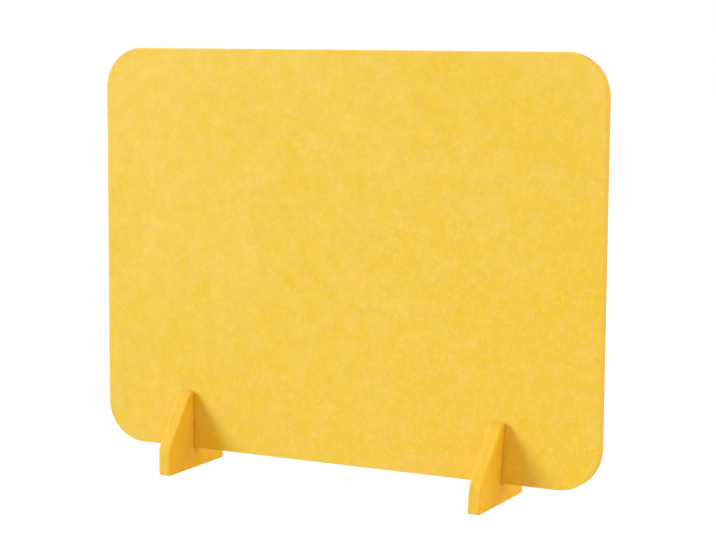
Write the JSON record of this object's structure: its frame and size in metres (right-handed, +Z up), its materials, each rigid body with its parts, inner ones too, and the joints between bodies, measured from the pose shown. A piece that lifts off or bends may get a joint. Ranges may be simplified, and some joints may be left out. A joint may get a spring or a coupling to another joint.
{
  "type": "acoustic divider screen",
  "caption": "Free-standing desk-top acoustic screen: a round-cornered felt panel standing in slotted felt feet that slide along its bottom edge.",
  "frame": {"origin": "on the table surface, under the middle of the panel: centre of the box's base", "axes": "+X along the panel towards its right end, +Z up, -Y the face towards the viewer in the picture"},
  "size_m": [0.6, 0.115, 0.473],
  "materials": {
    "panel_felt": "pressed polyester felt board, warm yellow, matt, lightly mottled, cut edges a shade darker",
    "foot_felt": "thicker pressed polyester felt board of the same warm yellow, matt, cut faces"
  },
  "bodies": {
    "panel": {"panel": "panel_felt"},
    "left_foot": {"left_foot": "foot_felt"},
    "right_foot": {"right_foot": "foot_felt"}
  },
  "joints": [
    {"name": "left_foot_slide", "type": "slide", "parent": "panel", "child": "left_foot", "axis": [1, 0, 0], "range_m": [-0.054, 0.18]},
    {"name": "right_foot_slide", "type": "slide", "parent": "panel", "child": "right_foot", "axis": [1, 0, 0], "range_m": [-0.171, 0.062]}
  ]
}
